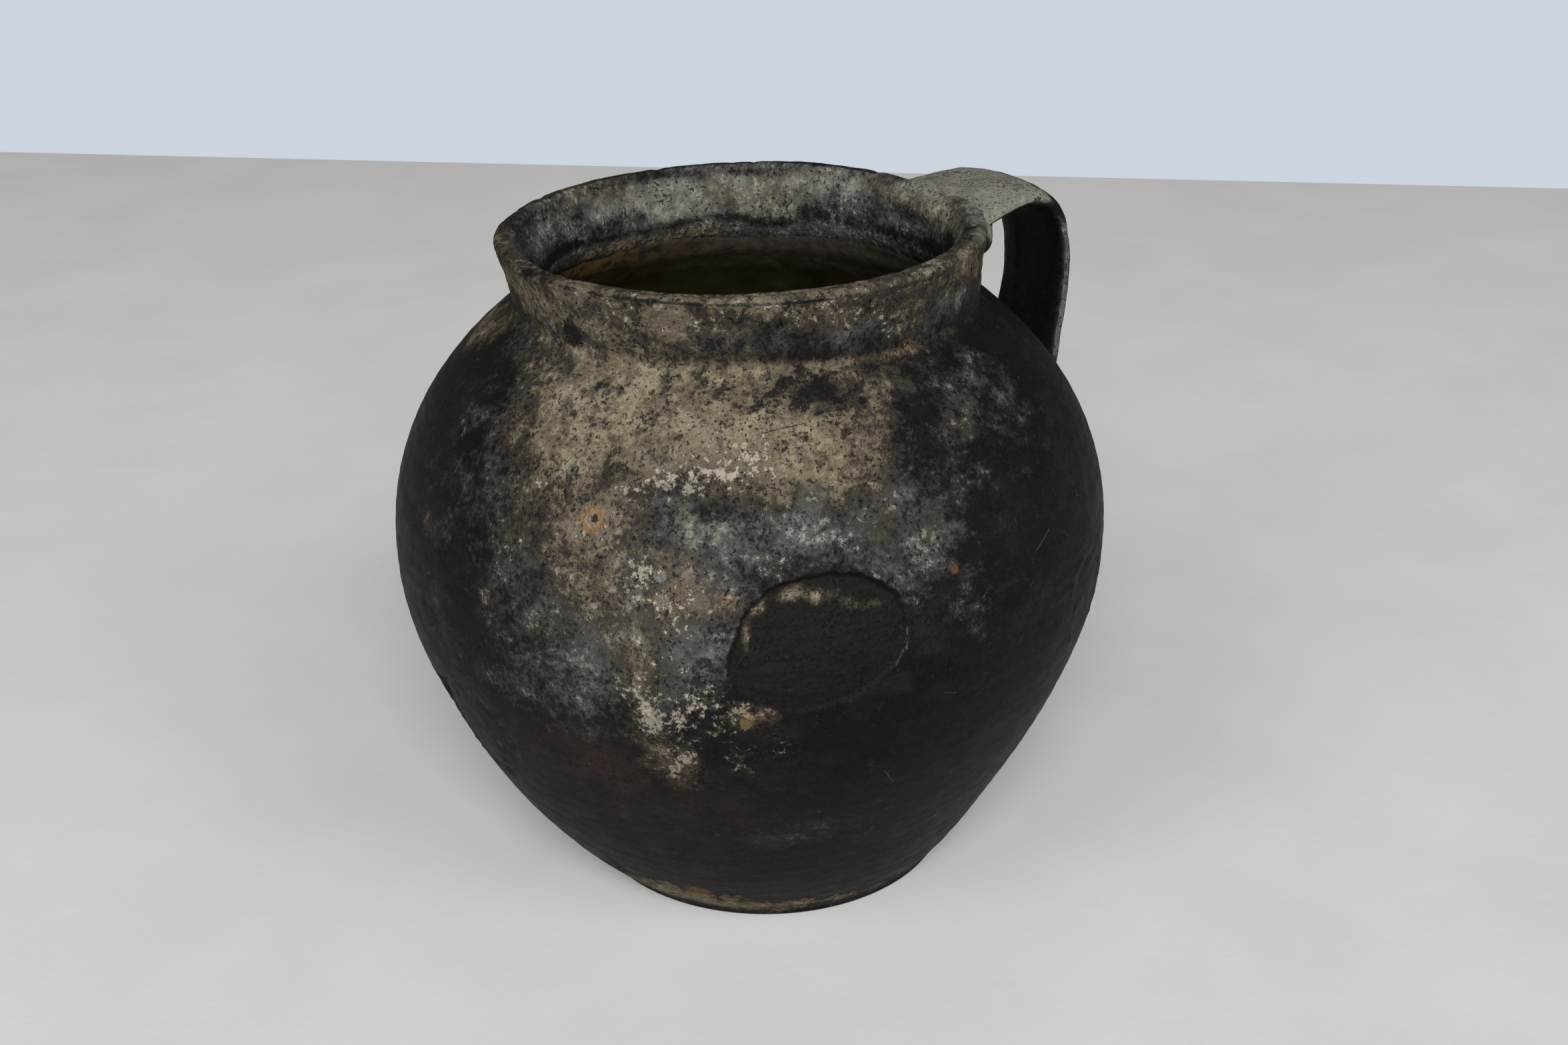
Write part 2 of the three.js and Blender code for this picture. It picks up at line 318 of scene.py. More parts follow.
def wear_outside(point, azimuth):
    """How far the outer skin stands off the drawn line: always inwards but for a small burr."""
    rings = RINGS[0] * math.sin(2 * math.pi * point.z / RINGS[1] + 2.4 * lumps(point, 34, 3))
    lost = SKIN_SUNK - uneven(point, WALL_LUMPS) - rings
    lost += eased(point.z, 165, 170) * (uneven(point, NECK_LUMPS) - 0.15)
    lost += LIP_GROOVE[0] * hump(point.z, *LIP_GROOVE[1:])
    lost *= eased(point.z, 0, 3)
    for flake in flakes:
        if flake.near(azimuth, point.z, 4):
            lost += flake.depth_at(azimuth, point.z, point)
    return -lost


def wear_inside(point):
    ridges = RIDGES[0] * math.sin(2 * math.pi * point.z / RIDGES[1] + 2 * lumps(point, 40, 11))
    ridges *= eased(point.z, 20, 40) * eased(point.z, 176, 160)
    return ridges + uneven(point, INSIDE_LUMPS) - INSIDE_SUNK


def lip_chips(point, azimuth):
    """Height lost from the crest of the lip."""
    around = around_axis(azimuth, CREST[0])
    small = max(lumps(around, 4.5, 13) - 0.18, 0) * 1.3
    broad = 0.25 + 0.25 * lumps(around, 24, 14)
    pressed = LIP_PRESSED[0] * hump(azimuth, *LIP_PRESSED[1:])
    return (small + broad + pressed) * eased(point.z, 183.5, 186.6)


def turned(line, turns):
    """A closed skin turned about the axis from a line that starts and ends on it."""
    skin = bmesh.new()
    points = [skin.verts.new(place) for place in line]
    steps = [skin.edges.new(pair) for pair in zip(points, points[1:])]
    bmesh.ops.spin(skin, geom=points + steps, cent=(0, 0, 0), axis=(0, 0, 1), dvec=(0, 0, 0),
                   angle=2 * math.pi, steps=turns, use_merge=True)
    bmesh.ops.remove_doubles(skin, verts=skin.verts, dist=MERGED_WITHIN)
    bmesh.ops.recalc_face_normals(skin, faces=skin.faces)
    return skin


def azimuth_of(point):
    return math.degrees(math.atan2(point.y, point.x))


def thrown_pot():
    outside = outside_line()
    underside = [Vector((outside[0].x * i / 8, 0, 0)) for i in range(8)]
    skin = turned(underside + outside + inside_line()[1:], TURNS)
    heights = [p.z for p in outside]
    radii = [p.x for p in outside]

    def is_outside(point):
        return math.hypot(point.x, point.y) > np.interp(point.z, heights, radii) - 1.5

    front = flakes[0]
    close = [e for e in skin.edges if all(
        is_outside(v.co) and front.near(azimuth_of(v.co), v.co.z, 3) for v in e.verts)]
    bmesh.ops.subdivide_edges(skin, edges=close, cuts=2, use_grid_fill=True)
    skin.normal_update()
    flaked = skin.verts.layers.float.new("flaked")
    moves = []
    for vert in skin.verts:
        point = vert.co
        azimuth = azimuth_of(point)
        if is_outside(point):
            vert[flaked] = max(eased(flake.edge_at(azimuth, point.z, point), -0.3, 0.5)
                               if flake.near(azimuth, point.z, 1) else 0 for flake in flakes[:2])
        if point.z < 0.01:
            shift = Vector()
        elif is_outside(point):
            shift = vert.normal * wear_outside(point, azimuth)
        else:
            shift = vert.normal * wear_inside(point) * eased(point.z, 187, 182)
        shift.z -= lip_chips(point, azimuth)
        moves.append(shift)
    for vert, shift in zip(skin.verts, moves):
        vert.co = out_of_true(vert.co + shift)
    return skin


def glaze_coat():
    """The glaze as a thin shell. It thins to nothing along an uneven line below the throat."""
    front, back = ([p for p in hollow_line(stand) if p.z < GLAZE_END] for stand in (GLAZE_STAND, GLAZE_BACK))
    skin = turned(front + back[::-1], GLAZE_TURNS)
    skin.normal_update()
    moves = []
    for vert in skin.verts:
        point = vert.co
        edge = GLAZE_EDGE + uneven(around_axis(azimuth_of(point), 60), GLAZE_EDGE_LUMPS)
        off_clay = vert.normal * wear_inside(point)
        facing_in = vert.normal.dot(Vector((point.x, point.y, 0))) < 0 or point.z < FLOOR_HEIGHT + 4
        sunk = eased(point.z, edge - 1.2, edge + 1.2) * (GLAZE_STAND + 0.3)
        moves.append(off_clay - vert.normal * sunk if facing_in else -off_clay)
    for vert, shift in zip(skin.verts, moves):
        vert.co = out_of_true(vert.co + shift)
    return skin


def strap_stations(count):
    """Evenly spaced places along the strap's middle line, each with its direction."""
    line = bend(*STRAP_UPPER, 120)[:-1] + bend(*STRAP_LOWER, 90)
    run = np.concatenate([[0], np.cumsum([(b - a).length for a, b in zip(line, line[1:])])])
    even = np.linspace(STRAP_BURIED, run[-1], count)
    places = [Vector((np.interp(s, run, [p.x for p in line]), 0, np.interp(s, run, [p.z for p in line])))
              for s in even]
    stations = []
    for i, place in enumerate(places):
        ahead = places[min(i + 1, count - 1)] - places[max(i - 1, 0)]
        stations.append((even[i], run[-1] - even[i], place, ahead.normalized()))
    return stations


def squared(value, power):
    return math.copysign(abs(value) ** power, value)


def pulled_strap():
    """A strap pulled from wet clay: crowned outside, with faint finger grooves along it."""
    skin = bmesh.new()
    bmesh.ops.create_grid(skin, x_segments=STRAP_ALONG, y_segments=STRAP_AROUND, size=1)
    rows = sorted({round(v.co.x, 5) for v in skin.verts})
    stations = dict(zip(rows, strap_stations(len(rows))))
    for vert in skin.verts:
        run, left, place, ahead = stations[round(vert.co.x, 5)]
        turn = (vert.co.y + 1) * math.pi
        half = (STRAP_WIDTH + ROOT_FLARE[0] * hump(run, 0, ROOT_FLARE[1])
                + LANDING_FLARE[0] * hump(left, 0, LANDING_FLARE[1])) / 2
        across = half * squared(math.cos(turn), STRAP_SQUARE[0])
        if across > 0:
            across *= 1 + STRAP_SWELL[0] * hump(run, *STRAP_SWELL[1:])
        through = STRAP_THICKNESS / 2 * squared(math.sin(turn), STRAP_SQUARE[1])
        outer = max(math.sin(turn), 0)
        share = across / half
        through += STRAP_CROWN * (1 - share * share) * outer
        grooves = 0.14 * lumps(Vector((across, run / 9, 0)), 2.6, 17)
        through += grooves * abs(math.sin(turn)) - FINGER_GROOVE[0] * outer * hump(across, *FINGER_GROOVE[1:])
        outwards = Vector((-ahead.z, 0, ahead.x))
        at = place + outwards * through + Vector((0, across, 0))
        push = uneven(at, STRAP_LUMPS) - SKIN_SUNK
        push += STRAP_BLOB[1] * hump((at - Vector(STRAP_BLOB[0])).length, 0, STRAP_BLOB[2])
        free = eased(run, 0, 8) * eased(left, 0, 8)
        vert.co = at + (outwards * math.sin(turn) + Vector((0, share, 0))) * push * free
    bmesh.ops.remove_doubles(skin, verts=skin.verts, dist=MERGED_WITHIN)
    bmesh.ops.holes_fill(skin, edges=[e for e in skin.edges if e.is_boundary], sides=0)
    bmesh.ops.recalc_face_normals(skin, faces=skin.faces)
    return skin


def placed(name, data):
    """A new object in the scene."""
    thing = bpy.data.objects.new(name, data)
    bpy.context.scene.collection.objects.link(thing)
    return thing


def finished(name, skin, node, finish):
    """The object of a piece, riding on the pot and standing for its node."""
    bmesh.ops.triangulate(skin, faces=[f for f in skin.faces if len(f.verts) > 4])
    mesh = bpy.data.meshes.new(name)
    skin.to_mesh(mesh)
    skin.free()
    mesh.transform(Matrix.Scale(MM, 4))
    mesh.polygons.foreach_set("use_smooth", [True] * len(mesh.polygons))
    mesh.materials.append(finish)
    piece = placed(name, mesh)
    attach(piece, "root")
    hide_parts(node)
    return piece


def cut_out(piece, low, high):
    """A closed block of a finished piece between two corners, sunk a little under its own skin."""
    block = bmesh.new()
    block.from_mesh(piece.data)
    bmesh.ops.scale(block, vec=(1 / MM,) * 3, verts=block.verts)
    sunk = [v.co - v.normal * JOINT_SUNK for v in block.verts]
    for vert, place in zip(block.verts, sunk):
        vert.co = place
    far = [v for v in block.verts
           if not all(a - JOINT_MARGIN < c < b + JOINT_MARGIN for a, c, b in zip(low, v.co, high))]
    bmesh.ops.delete(block, geom=far, context="VERTS")
    for corner_place, sign in ((low, -1), (high, 1)):
        for axis in Matrix.Identity(3):
            everything = block.verts[:] + block.edges[:] + block.faces[:]
            bmesh.ops.bisect_plane(block, geom=everything, dist=1e-5, plane_co=corner_place,
                                   plane_no=axis * sign, clear_outer=True)
            rims = [e for e in block.edges if e.is_boundary]
            bmesh.ops.triangle_fill(block, edges=rims, use_beauty=True, use_dissolve=False)
    return block


def smeared(dabs, neighbours, box):
    """Clay smeared over a joint: it fills the corner between the neighbours and dies into their skins."""
    smear = bmesh.new()
    for half_sizes, tilt, place in dabs:
        pose = Matrix.Translation(place) @ Matrix.Rotation(-math.radians(tilt), 4, "Y")
        shape = Matrix.Diagonal((*half_sizes, 1))
        dab = bmesh.ops.create_icosphere(smear, subdivisions=5, radius=1, matrix=pose @ shape)["verts"]
        for vert in dab:
            outwards = (vert.co - Vector(place)).normalized()
            vert.co += outwards * uneven(vert.co, SMEAR_LUMPS)
            vert.co.x -= vert.co.y ** 2 / (2 * place[0])
    for neighbour in neighbours:
        block = cut_out(neighbour, *box)
        part = bpy.data.meshes.new("block")
        block.to_mesh(part)
        block.free()
        smear.from_mesh(part)
        bpy.data.meshes.remove(part)
    rough = bpy.data.meshes.new("rough_smear")
    smear.to_mesh(rough)
    smear.free()
    holder = placed("rough_smear", rough)
    remesh = holder.modifiers.new("joined", "REMESH")
    remesh.mode = "VOXEL"
    remesh.voxel_size = JOINT_VOXEL
    bpy.context.view_layer.update()
    joined = bpy.data.meshes.new_from_object(holder.evaluated_get(bpy.context.evaluated_depsgraph_get()))
    bpy.data.objects.remove(holder)
    skin = bmesh.new()
    skin.from_mesh(joined)
    bpy.data.meshes.remove(joined)
    for _ in range(JOINT_SMOOTHINGS):
        bmesh.ops.smooth_vert(skin, verts=skin.verts, factor=0.5,
                              use_axis_x=True, use_axis_y=True, use_axis_z=True)
    bmesh.ops.recalc_face_normals(skin, faces=skin.faces)
    return skin


# Strokes of colour on the outer wall: azimuth, height, half width, half height, turn, strength
ASH = (
    (-148, 157, 24, 9, 0, .8), (-127, 155, 26, 10, 3, .88), (-152, 146, 9, 7, 15, .62),
    (-114, 150, 12, 9, 8, .8), (-103, 149, 15, 11, 8, .6), (-95, 156, 8, 6, 0, .4),
    (-128, 165, 44, 3, 0, .5), (-140, 186.5, 60, 2.2, 0, .5), (-75, 186.5, 50, 2.2, 0, .42),
    (-162, 150, 12, 9, 0, .45), (-150, 148, 8, 5, 0, .35), (-155, 135, 10, 12, -8, .46),
    (-137, 139, 8, 8, 0, .34), (-120, 147.5, 8, 3.5, 0, .5), (-147, 126, 9, 12, 0, .6),
    (-141, 124, 8, 10, 0, .62), (-144, 137, 8, 7, 0, .72), (-128, 123, 7, 8, 0, .5),
    (-137, 112, 12, 10, 0, .25), (-122, 120, 9, 5, 0, .62), (-131, 120, 3, 3, 0, .6),
    (-133, 108, 14, 14, 0, .36), (-160, 112, 9, 3, -5, .45), (-150, 108, 9, 5, 10, .35),
    (-178, 122, 9, 3, 0, .35), (-171, 118, 18, 16, 0, .25), (-129, 131, 12, 8, 0, .35),
    (-98, 134, 9, 10, 0, .26), (-88, 161.5, 9, 3, 0, .4), (-77, 152, 13, 6, 8, .32),
    (-90, 133, 9, 8, 0, .25), (-169, 177, 30, 13, 0, .52), (-140, 177, 24, 12, 0, .55),
    (-118, 184, 30, 4, 0, .55), (-101, 180, 22, 6, 0, .62), (-79, 174, 9, 8, 0, .5),
    (-60, 182, 16, 5, 0, .55), (-38, 180, 16, 8, 0, .62), (-133, 88, 9, 17, 4, .42),
    (-130, 74, 7, 8, -8, .5), (-119, 91.5, 6, 4.5, 0, .65), (-120, 80, 12, 12, 0, .25),
    (-152, 88, 20, 12, 0, .28), (-176, 90, 14, 8, 0, .25), (-145, 10, 26, 8, 0, .75),
    (-118, 7, 26, 5, 0, .62), (-92, 5, 24, 4, 0, .5), (-92, 166.8, 40, 1.2, 0, .55),
    (20, 156, 40, 9, 0, .35), (75, 158, 40, 11, -4, .65), (118, 150, 30, 14, 8, .55),
    (150, 160, 30, 8, 0, .55), (95, 178, 70, 10, 0, .55), (40, 178, 30, 9, 0, .45),
    (100, 120, 22, 18, 0, .4), (140, 96, 24, 16, 0, .35), (60, 14, 40, 8, 0, .4), (-30, 174, 26, 10, 0, .3),
    (160, 178, 44, 9, 0, .55), (140, 12, 44, 8, 0, .4),
)
# Grey film: partly a rubbed grey film, partly painted sheen on the front shoulder, where the light is
# reflected
FILM_AND_LIGHT = (
    (-134, 126, 34, 22, 0, .78), (-112, 136, 24, 11, 0, .62), (-137, 106, 25, 22, 0, .7),
    (-129, 112, 14, 20, 0, .5), (-156, 118, 12, 12, 0, .35), (-153, 91, 20, 13, 0, .42),
    (-96, 130, 12, 16, 0, .6), (-84, 106, 10, 10, 0, .4), (-89, 138, 14, 16, 0, .35),
    (-172, 100, 18, 26, 0, .3), (-105, 45, 40, 18, 0, .3), (-135, 186, 70, 2.6, 0, .7),
    (-60, 186, 50, 2.6, 0, .65), (-60, 178, 30, 9, 0, .5), (0, 186, 30, 3, 0, .8),
    (-84, 120, 8, 14, 0, .28), (-72, 100, 9, 12, 0, .22), (-68, 134, 10, 9, 0, .22),
    (-75, 154, 20, 9, 0, .33), (-72, 161, 34, 5, 0, .22), (-176, 153, 12, 12, 0, .2),
    (-60, 110, 16, 24, 0, .18), (-78, 144, 16, 12, 0, .3), (-62, 148, 18, 16, 0, .35),
    (-108, 175, 60, 9, 0, .58), (-166, 176, 30, 10, 0, .76), (-165, 138, 20, 18, 0, .42),
    (-140, 30, 46, 18, 0, .18), (-150, 160, 40, 12, 0, .5), (-168, 70, 20, 10, 0, .3),
    (-70, 60, 30, 30, 0, .15), (90, 130, 60, 26, 0, .5), (150, 110, 44, 34, 0, .5),
    (40, 90, 44, 30, 0, .35), (110, 60, 54, 24, 0, .25), (0, 120, 44, 24, 0, .25), (90, 176, 70, 12, 0, .5),
)
CRUST = (
    (-136, 95, 5, 4, 0, .58), (-132.5, 88, 5, 4, 0, .6), (-131, 83.5, 4, 3, 0, .46),
    (-129, 76.5, 4, 4, 0, .58), (-131, 71, 4, 3, 0, .5), (-126, 82, 12, 14, 0, .24),
    (-119.5, 92, 5, 3.5, 0, .68), (-126, 154, 20, 7, 0, .3), (-117, 151, 8, 5, 0, .42),
    (-128, 146, 15, 3, 0, .56), (-137, 142, 8, 4, 0, .44), (-119, 146, 7, 3, 0, .42),
    (-109, 142, 4, 3, 0, .6), (-143, 135, 4.5, 4.5, 0, .66), (-152, 142, 8, 3.5, 0, .42),
    (-131, 120, 2.5, 2.5, 0, .55), (-134, 127, 5, 4, 0, .48), (-128, 93, 6, 6, 0, .4),
    (-131, 106, 13, 16, 0, .36), (-128, 121, 8, 5, 0, .46), (-116, 129, 7, 3, 20, .3),
    (-156, 128, 10, 12, 0, .3), (-120, 82, 10, 12, 0, .3), (-160, 112, 6, 2.5, 0, .4),
    (-112, 182, 40, 5, 0, .24), (-97, 179, 20, 7, 0, .26), (-79, 172, 9, 6, 0, .25),
    (-145, 180, 30, 8, 0, .25), (-95, 166.8, 34, 1, 0, .4), (-150, 10, 20, 6, 0, .25),
    # The two thin strokes at azimuths -96.6 and -98.3 follow the front flake's right edge: crust in the crack,
    # and a painted highlight where the edge catches the light
    (-96.6, 109, .8, 7, -2, .6), (-98.3, 101.5, .9, 3, 15, .6), (80, 152, 26, 10, 0, .4),
    (120, 112, 16, 12, 0, .35), (140, 158, 16, 6, 0, .35), (100, 182, 60, 5, 0, .3),
)
RUST = (
    (-150, 62, 30, 18, 0, .5), (-140, 72, 16, 8, 0, .5), (-128, 60, 26, 14, 0, .3),
    (-120, 22, 40, 14, 0, .35), (-134, 15, 4, 4, 0, .8), (-143, 136, 3.6, 3.4, 0, .8),
    (-85, 166.4, 26, 1.2, 0, .6), (-119, 91, 5, 4, 0, .75), (-124, 120, 7, 4, 0, .35),
    (-70, 60, 40, 20, 0, .25), (-150, 155, 30, 12, 0, .25), (-113, 152, 14, 8, 0, .3),
    (60, 40, 60, 20, 0, .4), (140, 60, 40, 20, 0, .4), (-166, 80, 10, 4, 0, .4), (-172, 58, 12, 6, 0, .5),
    (-88, 122, 1.2, 1.2, 0, .9),
)
SOOT_SPOTS = (
    (-151, 160.5, 4, 2.4, 10, .72), (-127, 157, 2.6, 2, 0, .62), (-123.6, 153.6, 2, 1.8, 0, .62),
    (-141, 150, 4, 1.8, 0, .62), (-133, 149.4, 3, 1.8, 0, .58), (-119.5, 158, 2, 1.4, 0, .55),
    (-117.5, 151.5, 2.2, 1.4, 0, .55), (-131.5, 154, 2, 1.3, 0, .55), (-137, 160.5, 1.8, 1.3, 0, .55),
    (-146, 155, 2, 1.4, 0, .55), (-149, 122, 3, 4, 20, .6), (-153, 113, 3, 4, 0, .5),
    (-146, 131, 2.4, 3, 0, .5),
)
SOOT = SOOT_SPOTS + (
    (-107, 161.5, 12, 4, -6, .85), (-163, 173, 6, 3.5, 0, .7),
    (-121, 84, 9, 9, 0, .6), (-140, 183.8, 50, .45, 0, .75), (-90, 183.8, 50, .45, 0, .6),
    (-125, 103, 5, 6, 0, .55), (-165, 108, 14, 22, 0, .6), (-148, 144, 14, 3, 0, .34),
    (-128, 143, 26, 3.5, 0, .24), (-153, 131, 5, 3, 0, .2), (-115, 171.5, 25, 4.5, 0, .56),
    (-96, 169, 20, 3, 0, .35), (-154, 173, 4, 2, 0, .4), (-124, 181, 8, 2, 0, .4),
    (-60, 140, 40, 30, 0, .5), (-84, 88, 34, 26, 0, .7), (-95, 151, 5, 6, 0, .3), (-131, 98, 6, 4, 0, .3),
    (-138, 84, 4, 5, 0, .4), (0, 150, 24, 14, 0, .6), (100, 160, 10, 4, 0, .8), (60, 120, 26, 18, 0, .6),
    (-105, 66, 30, 18, 0, .5), (-180, 96, 30, 40, 0, .35), (-145, 48, 40, 22, 0, .45),
    (-168, 184, 4, 2, 0, .7), (-160, 183, 2, 3, 0, .5), (-150, 184.5, 5, 1.2, 0, .5),
    (-175, 185, 3, 2, 0, .5),
)

# Where the wall is painted darker, mostly low down
DARKER_LOW = (
    (-160, 46, 22, 26, 0, .85), (-136, 32, 50, 11, 0, .6), (-98, 26, 44, 10, 0, .5),
    (-98, 80, 34, 18, 0, .75), (-66, 66, 26, 30, 0, .4), (-58, 100, 18, 26, 0, .35),
    (70, 40, 90, 26, 0, .5), (160, 60, 60, 30, 0, .4),
)

# Crust on the floor of the front flake
FLAKE_CRUST = (
    (-117.6, 119, 3.2, 1.8, 50, .62), (-113, 121.3, 4, 1.6, 20, .55), (-108.8, 120.5, 4, 1.6, -5, .62),
    (-104.5, 118, 3.4, 2, -30, .5), (-101, 117, 3, 1.5, 0, .35), (-119.4, 112, 1.4, 5, 0, .5),
    (-97.6, 102, 1.2, 3, 0, .35), (-168, 60, 5, 4, 0, .4), (-163, 68, 3, 6, 0, .4),
)

# The same on the inside of the neck
NECK_ASH = (
    (78, 182, 44, 8, 0, .42), (112, 184, 30, 5, 0, .35), (150, 184, 44, 4, 0, .3), (60, 178, 22, 5, 0, .5),
    (12, 184, 22, 6, 0, .5), (-14, 184, 24, 6, 0, .5), (-60, 185, 40, 4, 0, .4), (-120, 185, 40, 4, 0, .4),
    (-160, 186, 30, 3, 0, .4), (92, 168, 60, 4, 0, .58),
)
# Grey inside the neck: partly film and stain, partly painted light on the far inner wall
NECK_FILM_AND_LIGHT = (
    (75, 181, 60, 9, 0, .95), (120, 182, 50, 8, 0, .8), (160, 184, 50, 5, 0, .6), (10, 181, 40, 9, 0, .85),
    (-80, 185, 90, 5, 0, .6), (90, 168, 60, 5, 0, 1.0), (40, 168, 50, 5, 0, .7), (150, 169, 40, 4, 0, .5),
    (-160, 180, 30, 6, 0, .45), (152, 177, 44, 8, 0, .7), (28, 177, 22, 7, 0, .6),
)
NECK_SOOT = SOOT_SPOTS + (
    (170, 172.2, 20, 1.3, 0, .6), (144, 171, 16, 1.5, -6, .6),
    (120, 172.2, 13, 1.2, 8, .5), (99, 170.8, 12, 1.1, 0, .42), (78, 172.2, 11, 1.3, -8, .48),
    (58, 171, 12, 1.5, 6, .48), (-90, 172.5, 110, 1.6, 0, .7), (22, 177.5, 13, 6, 0, .42),
    (38, 175, 10, 3, 0, .5), (140, 184, 12, 3, 0, .5), (104, 175, 12, 2, 0, .5), (-160, 175, 24, 4, 0, .3),
    (156, 176, 24, 4, 0, .3), (118, 181, 8, 3, 0, .4), (84, 185.5, 14, 1.6, 0, .55),
    (60, 185, 9, 1.5, 0, .4),
)

# Pale grey on the wall: partly bloom, partly painted sheen and painted light
BLOOM_AND_LIGHT = (
    (-109, 142, 5, 4, 0, .15), (-99, 132, 8, 8, 0, .34), (-150, 96, 12, 10, 0, .25),
    (-129, 126, 11, 10, 0, .42), (-127, 136, 12, 10, 0, .3), (-134, 110, 12, 12, 0, .3),
    (-137, 112, 12, 12, 0, .2), (-38, 186, 26, 3.5, 0, .9), (0, 186, 26, 4, 0, .9),
    (-70, 180, 14, 7, 0, .25), (-32, 180, 12, 7, 0, .45), (-125, 138, 14, 5, 0, .22),
    (100, 135, 30, 14, 0, .3),
)

# Rust on the strap, then rust and pale grey on the inside of the neck. The pale grey inside the neck is partly
# bloom and partly painted light; its low strokes lighten the shaded hollow above the throat
STRAP_RUST = (
    (-8, 187, 4, 3, 0, .9), (-5, 184, 6, 3, 0, .9), (6, 188, 6, 2, 0, .6),
)
NECK_RUST = (
    (80, 168, 70, 3, 0, .32), (150, 168, 30, 3, 0, .45), (0, 168, 30, 3, 0, .5),
)
NECK_BLOOM_AND_LIGHT = (
    (80, 181, 46, 7, 0, .85), (118, 181, 30, 6, 0, .45), (56, 179, 20, 6, 0, .55),
    (5, 184.5, 24, 5, 0, .75), (165, 184, 30, 3, 0, .35), (85, 168, 60, 4, 0, .22),
    (30, 184.5, 20, 4, 0, .6), (-26, 184, 24, 6, 0, .8), (80, 175, 46, 3.5, 0, .5), (30, 175, 24, 3, 0, .3),
)

# Heights: where the neck's inside begins, and where the soot and painted shade on the strap's inner face end
NECK_FROM = 150
STRAP_SOOT_AND_SHADE_TO = 184

# Layers: strokes on the wall and inside the neck, and how much of it the flake's crust has
LAYERS = (
    ("ash", ASH, NECK_ASH, 1.4), ("film_and_light", FILM_AND_LIGHT, NECK_FILM_AND_LIGHT, 0.3), ("crust", CRUST, (), 0.55),
    ("rust", RUST, NECK_RUST, 0.6), ("bloom_and_light", BLOOM_AND_LIGHT, NECK_BLOOM_AND_LIGHT, 0),
)


def strokes_over(places, strokes):
    """Share of cover, from 0 to 1, that soft oval strokes give each place on the turned wall."""
    x, y, z = places.T
    azimuth = np.arctan2(y, x)
    radius = np.hypot(x, y)
    bare = np.ones(len(places))
    for heading, height, half_width, half_height, turn, strength in strokes:
        apart = (azimuth - math.radians(heading) + math.pi) % (2 * math.pi) - math.pi
        across = apart * radius
        above = z - height
        c, s = math.cos(math.radians(turn)), math.sin(math.radians(turn))
        away = np.hypot((across * c + above * s) / half_width, (above * c - across * s) / half_height)
        bare *= 1 - strength * np.exp(-away ** 2)
    return 1 - bare


def smooth_share(values, low, high):
    """eased, for a whole row of values."""
    share = np.clip((values - low) / (high - low), 0, 1)
    return share * share * (3 - 2 * share)


def per_point(values, field):
    flat = np.empty(len(values) * 3)
    values.foreach_get(field, flat)
    return flat.reshape(-1, 3)


def paint(piece):
    """Keeps on the piece how much of each layer lies on each point, from ash to darkening; some layers also
    carry painted light and shade.
    """
    mesh = piece.data
    places = per_point(mesh.vertices, "co") / MM
    x, y, z = places.T
    nx, ny, nz = per_point(mesh.vertex_normals, "vector").T
    outwards = (nx * x + ny * y) / np.maximum(np.hypot(x, y), 1)
    hollow = smooth_share(-outwards, -0.3, 0.3) * (z > NECK_FROM)
    strap = smooth_share(x + 0.75 * (z - 132), 94, 99) if piece.name != "thrown_pot" else np.zeros(len(places))
    neck_soot = strokes_over(places, NECK_SOOT)
    flaked = np.zeros(len(places))
    if "flaked" in mesh.attributes:
        mesh.attributes["flaked"].data.foreach_get("value", flaked)
    layers = {}
    bed = strokes_over(places, FLAKE_CRUST)
    for name, wall, neck, bed_share in LAYERS:
        inner = strokes_over(places, neck) * (1 - neck_soot)
        cover = strokes_over(places, wall) * (1 - hollow) + inner * hollow
        layers[name] = cover * (1 - flaked) + bed * bed_share * flaked
    layers["darkening"] = strokes_over(places, DARKER_LOW) * (1 - hollow)
    layers["soot_and_shade"] = (strokes_over(places, SOOT) * (1 - hollow) + neck_soot * hollow * 0.3) * (1 - flaked)

    # The strap and its joints: crowned top, outer face and edges. The top that faces up is painted lighter:
    # its tan-grey clay, and painted light where the light falls on it. The inner face towards the pot is
    # painted darker: soot, and painted shade.
    # upper: how much the strap faces up; painted light is laid there with the tan ash, grey and pale grey
    upper = smooth_share(nz + 0.6 * np.abs(ny), 0.1, 0.7) * smooth_share(-x, -95, -80)
    outer_face = smooth_share(nx, -0.1, 0.5) * smooth_share(-z, -178, -160)
    edge_face = smooth_share(np.abs(ny), 0.45, 0.85)
    edge_face *= 0.15 + 0.85 * smooth_share(-z, -180, -167)
    strap_layers = {
        "ash": 0.34 * upper + 0.1 * edge_face + 0.3 * outer_face,
        "film_and_light": 0.8 * upper + 0.7 * edge_face + 0.5 * outer_face + 0.25,
        "crust": 0.12 * upper + 0.05 * edge_face,
        "rust": 0.5 * upper * strokes_over(places, STRAP_RUST),
        "bloom_and_light": 1.5 * upper + 0.2 * edge_face,
        # Inner face towards the pot: soot, and painted shade where the pot keeps the light off it
        "soot_and_shade": smooth_share(-nx, 0.1, 0.6) * (z < STRAP_SOOT_AND_SHADE_TO),
        # Inner face painted darker still: painted shade
        "darkening": 0.7 * smooth_share(-nx, 0.5, 0.9),
    }
    for name, cover in layers.items():
        cover = cover * (1 - strap) + np.clip(strap_layers[name], 0, 1) * strap
        layer = mesh.attributes.new(name, "FLOAT", "POINT")
        layer.data.foreach_set("value", cover.astype(np.float32))


def shade(red, green, blue):
    """A colour picked, 0 to 255, as the shader wants it."""
    linear = [((c / 255 + 0.055) / 1.055) ** 2.4 if c > 10 else c / 255 / 12.92 for c in (red, green, blue)]
    return (*linear, 1)


